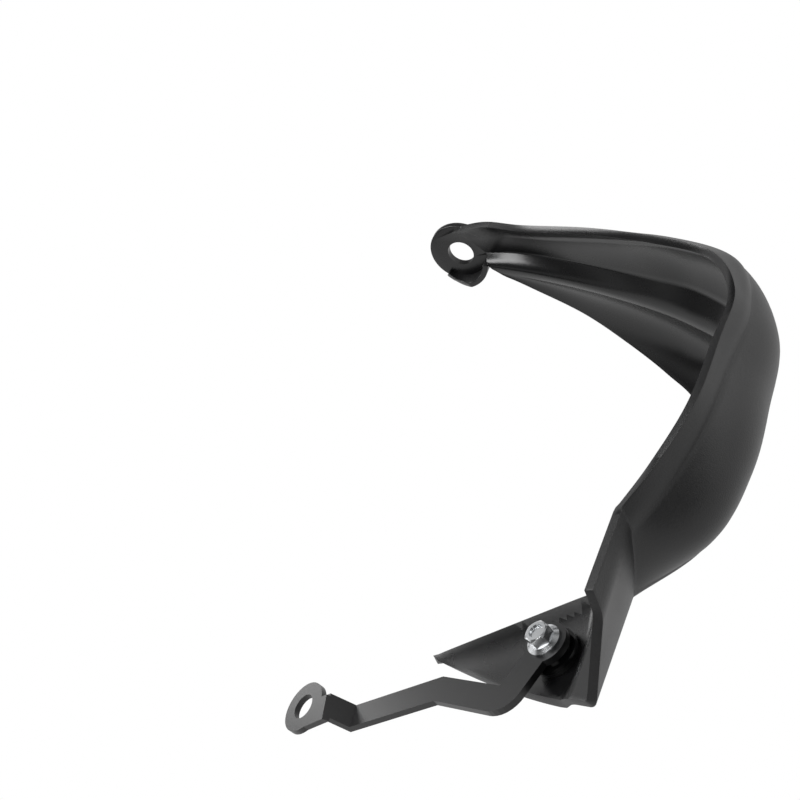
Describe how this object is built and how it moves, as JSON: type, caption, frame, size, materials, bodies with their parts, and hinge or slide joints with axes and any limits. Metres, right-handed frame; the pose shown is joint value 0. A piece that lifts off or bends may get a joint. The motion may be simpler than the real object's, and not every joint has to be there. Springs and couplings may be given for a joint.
{
  "type": "motorcycle hand guard",
  "caption": "Black moulded hand guard shell for the right bar end, with a bent steel bracket that ends in a ring for the mirror stem and a flange bolt.",
  "frame": {"origin": "centre of the bar-end hole, on the eye's inner face that lies against the bar end", "axes": "+X outboard along the bar-end hole, +Z along the axis of the bracket's ring towards the rimmed edge, -Y forward"},
  "size_m": [0.2517, 0.1905, 0.1413],
  "materials": {
    "shell": "satin moulded black, glossier inside",
    "bracket": "satin black",
    "bolt": "bright zinc",
    "collar": "gloss black",
    "insert": "plain"
  },
  "bodies": {
    "root": {"shell": "shell", "bracket": "bracket", "flange_bolt": "bolt", "spacer_collar": "collar", "threaded_insert": "insert"}
  },
  "joints": []
}
